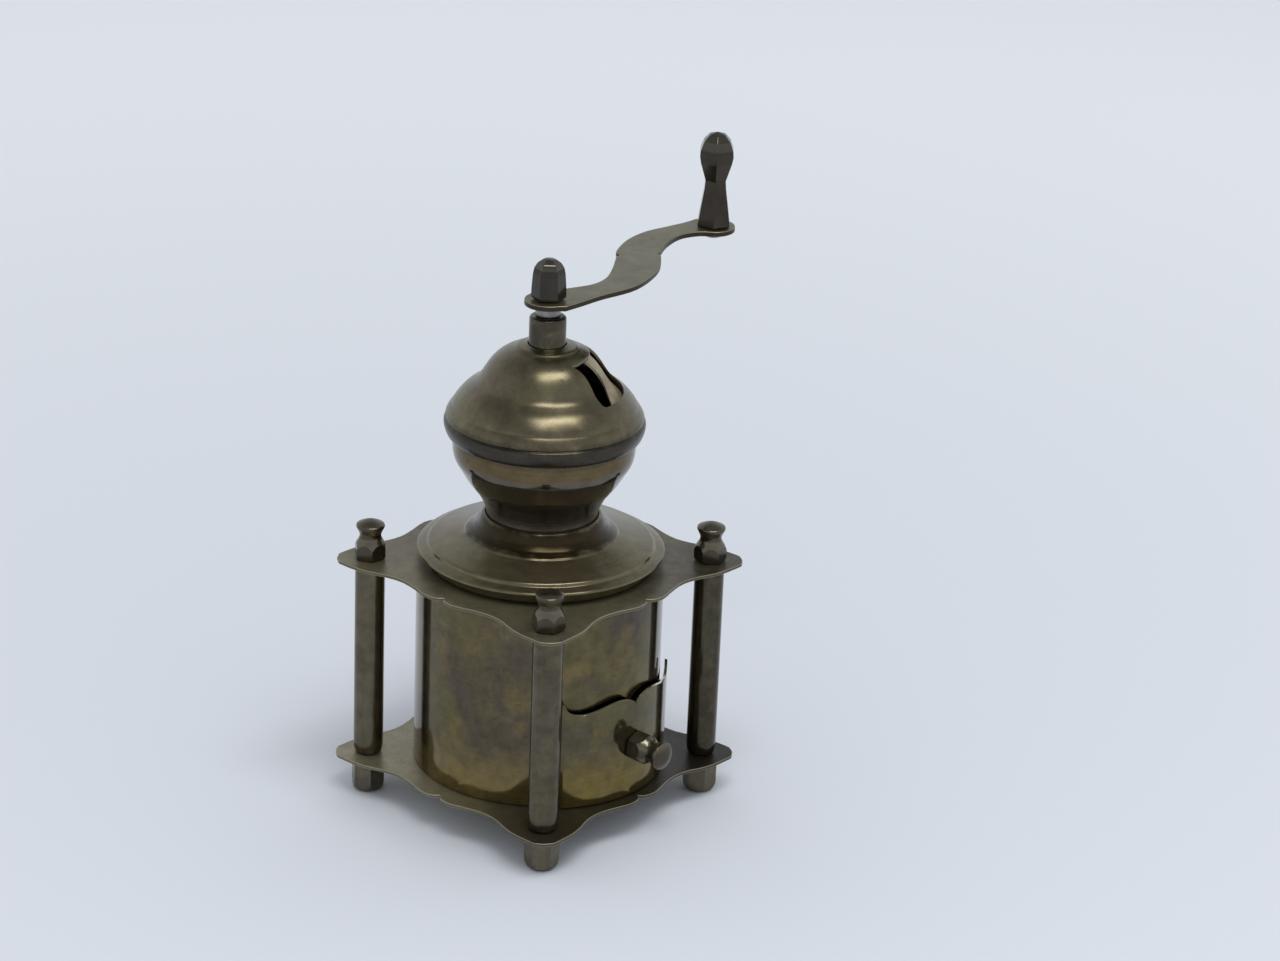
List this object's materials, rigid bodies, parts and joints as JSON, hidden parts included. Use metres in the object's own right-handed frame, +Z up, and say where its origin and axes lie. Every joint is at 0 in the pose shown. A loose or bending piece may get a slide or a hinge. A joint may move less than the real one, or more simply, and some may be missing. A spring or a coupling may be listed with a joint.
{
  "type": "spice grinder",
  "caption": "Hand-cranked brass spice grinder: four-pillar stand, drum with a drawer, hopper with a domed lid and a sliding door, steel burrs, curved crank with a knob.",
  "frame": {"origin": "middle of the bounding box at its bottom, on the plane the four feet stand on", "axes": "+Z up along the shaft, -Y towards the drawer and its knob, +X towards the side the crank arm points to at rest"},
  "size_m": [0.1498, 0.1032, 0.2003],
  "materials": {
    "plate_brass": "aged, satin",
    "foot_brass": "aged, satin",
    "pillar_brass": "aged, satin",
    "finial_brass": "aged, satin",
    "drum_brass": "aged, polished",
    "drawer_brass": "aged, polished",
    "tray_brass": "dull",
    "cover_brass": "aged, polished",
    "bowl_brass": "aged, polished",
    "lid_brass": "aged, polished",
    "door_brass": "aged, satin",
    "collar_brass": "aged, satin",
    "arm_brass": "aged, satin",
    "nut_brass": "aged, polished",
    "knob_brass": "aged, polished",
    "plain_steel": "satin",
    "burr_steel": "matt"
  },
  "bodies": {
    "stand": {"base_plate": "plate_brass", "top_plate": "plate_brass", "foot_front_left": "foot_brass", "pillar_front_left": "pillar_brass", "finial_front_left": "finial_brass", "foot_front_right": "foot_brass", "pillar_front_right": "pillar_brass", "finial_front_right": "finial_brass", "foot_back_left": "foot_brass", "pillar_back_left": "pillar_brass", "finial_back_left": "finial_brass", "foot_back_right": "foot_brass", "pillar_back_right": "pillar_brass", "finial_back_right": "finial_brass", "drum": "drum_brass", "cover": "cover_brass", "hopper_bowl": "bowl_brass", "dome_lid": "lid_brass", "dome_collar": "collar_brass", "ring_burr": "burr_steel", "bridge": "plain_steel", "bridge_screw_left": "plain_steel", "bridge_screw_right": "plain_steel"},
    "crank": {"shaft": "plain_steel", "cone_burr": "burr_steel", "thrust_nut": "plain_steel", "spacer": "plain_steel", "crank_arm": "arm_brass", "acorn_nut": "nut_brass", "knob_screw": "plain_steel"},
    "knob": {"handle_knob": "knob_brass"},
    "drawer": {"drawer_front": "drawer_brass", "drawer_tray": "tray_brass", "drawer_knob": "finial_brass", "drawer_knob_nut": "tray_brass"},
    "door": {"dome_door": "door_brass"}
  },
  "joints": [
    {"name": "crank_turn", "type": "hinge", "parent": "stand", "child": "crank", "pos_m": [-0.02745, 0.00415, 0.1673], "axis": [0, 0, 1], "continuous": true},
    {"name": "knob_turn", "type": "hinge", "parent": "crank", "child": "knob", "pos_m": [0.06727, 0.01685, 0.1685], "axis": [0, 0, 1], "continuous": true},
    {"name": "drawer_slide", "type": "slide", "parent": "stand", "child": "drawer", "axis": [0, -1, 0], "range_m": [-0.003, 0.045]},
    {"name": "door_turn", "type": "hinge", "parent": "stand", "child": "door", "pos_m": [-0.02745, 0.00415, 0.1502], "axis": [0, 0, 1], "range_deg": [-42, 60]}
  ]
}
